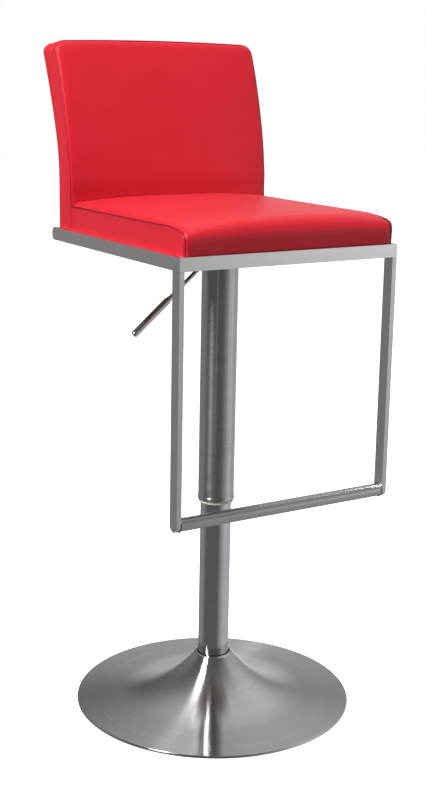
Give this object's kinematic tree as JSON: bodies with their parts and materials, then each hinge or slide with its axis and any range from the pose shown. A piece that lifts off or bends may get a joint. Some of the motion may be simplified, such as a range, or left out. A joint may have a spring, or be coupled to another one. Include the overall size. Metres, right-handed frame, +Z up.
{
  "type": "adjustable swivel stool",
  "caption": "Swivel stool with a red padded seat and low back, a flat-bar steel frame with a footrest, a telescopic gas-lift column with a lever and a round trumpet base.",
  "frame": {"origin": "on the floor, on the column's axis, at the centre of the base pad's underside", "axes": "+Z up along the column; the sitter faces -Y; +X is to the right of someone looking at the stool from the front"},
  "size_m": [0.45, 0.4769, 1.065],
  "materials": {
    "brushed_metal": "fine directional brushing, satin",
    "chrome": "mirror polished",
    "red_leather": "smooth, fine grain, semi-gloss",
    "ivory_plastic": "smooth satin",
    "black_plastic": "satin",
    "black_paint": "satin powder coat",
    "dark_steel": "plain mill finish",
    "iron": "as cast",
    "bearing_steel": "ground and polished",
    "zinc_steel": "bright zinc plated",
    "rubber": "matt",
    "plywood": "plain birch plywood"
  },
  "bodies": {
    "base": {"floor_pad": "rubber", "base_plate": "dark_steel", "ballast_disc": "iron", "base_cover": "brushed_metal", "column_socket": "dark_steel", "column_tube": "chrome", "guide_bush": "black_plastic", "end_plate": "dark_steel", "bearing_lower_race": "bearing_steel", "bearing_balls": "bearing_steel"},
    "rod": {"bearing_upper_race": "bearing_steel", "rubber_bumper": "rubber", "rod_washer": "bearing_steel", "rod_clip": "bearing_steel", "piston_rod": "chrome", "piston_head": "bearing_steel"},
    "seat": {"gas_cylinder": "black_paint", "telescopic_sleeve": "brushed_metal", "sleeve_bush": "ivory_plastic", "sleeve_ring": "black_plastic", "seat_socket": "black_paint", "seat_plate": "black_paint", "front_cross_bar": "black_paint", "rear_cross_bar": "black_paint", "plate_bolts": "zinc_steel", "tee_nuts": "zinc_steel", "lever_pin": "bearing_steel", "left_leg": "brushed_metal", "right_leg": "brushed_metal", "left_side_rail": "brushed_metal", "right_side_rail": "brushed_metal", "front_rail": "brushed_metal", "rear_rail": "brushed_metal", "foot_bar": "brushed_metal", "seat_board": "plywood", "back_board": "plywood", "back_brackets": "black_paint", "bracket_screws": "zinc_steel", "seat_cushion": "red_leather", "backrest_cushion": "red_leather"},
    "lever": {"lever_rod": "chrome", "lever_handle": "chrome"},
    "button": {"release_button": "bearing_steel"}
  },
  "joints": [
    {"name": "seat_swivel", "type": "hinge", "parent": "base", "child": "rod", "pos_m": [0, 0, 0.022], "axis": [0, 0, 1], "continuous": true},
    {"name": "seat_lift", "type": "slide", "parent": "rod", "child": "seat", "axis": [0, 0, 1], "range_m": [-0.21, 0]},
    {"name": "lever_tilt", "type": "hinge", "parent": "seat", "child": "lever", "pos_m": [-0.02, 0, 0.73702], "axis": [0, 1, 0], "range_deg": [0, 8], "stiffness_Nm_per_rad": 0.8, "springref_deg": -8.59},
    {"name": "button_press", "type": "slide", "parent": "seat", "child": "button", "axis": [0, 0, -1], "range_m": [0, 0.0035]}
  ],
  "couplings": [
    {"joint": "button_press", "follows": "lever_tilt", "m_per_rad": 0.024}
  ]
}
